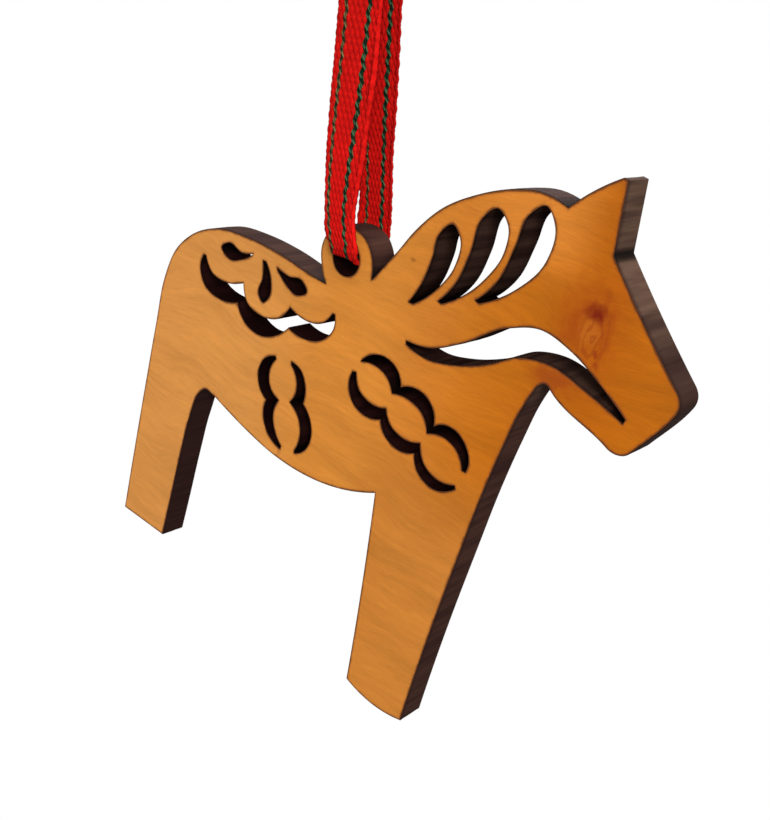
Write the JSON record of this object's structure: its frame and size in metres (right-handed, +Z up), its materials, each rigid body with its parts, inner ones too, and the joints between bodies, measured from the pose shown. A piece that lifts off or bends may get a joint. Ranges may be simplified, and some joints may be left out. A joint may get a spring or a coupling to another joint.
{
  "type": "hanging wooden horse ornament",
  "caption": "Flat pierced wooden dala horse hung from a knotted woven ribbon through a ring on its back.",
  "frame": {"origin": "where the ribbon's loop rests on its hook, just under the knot", "axes": "+Z up, +X towards the horse's nose, the plate's faces look to -Y and +Y"},
  "size_m": [0.0877, 0.0096, 0.1083],
  "materials": {
    "wood": "satin",
    "ribbon": "woven"
  },
  "bodies": {
    "knot": {"ribbon_knot": "ribbon"},
    "ribbon": {"ribbon": "ribbon"},
    "horse": {"horse": "wood"}
  },
  "joints": [
    {"name": "ribbon_twist", "type": "hinge", "parent": "knot", "child": "ribbon", "pos_m": [0, 0, 0], "axis": [0, 0, 1], "range_deg": [-120, 120]},
    {"name": "horse_rock", "type": "hinge", "parent": "ribbon", "child": "horse", "pos_m": [0.0022, 0, -0.03], "axis": [0, 1, 0], "range_deg": [-25, 25]}
  ]
}
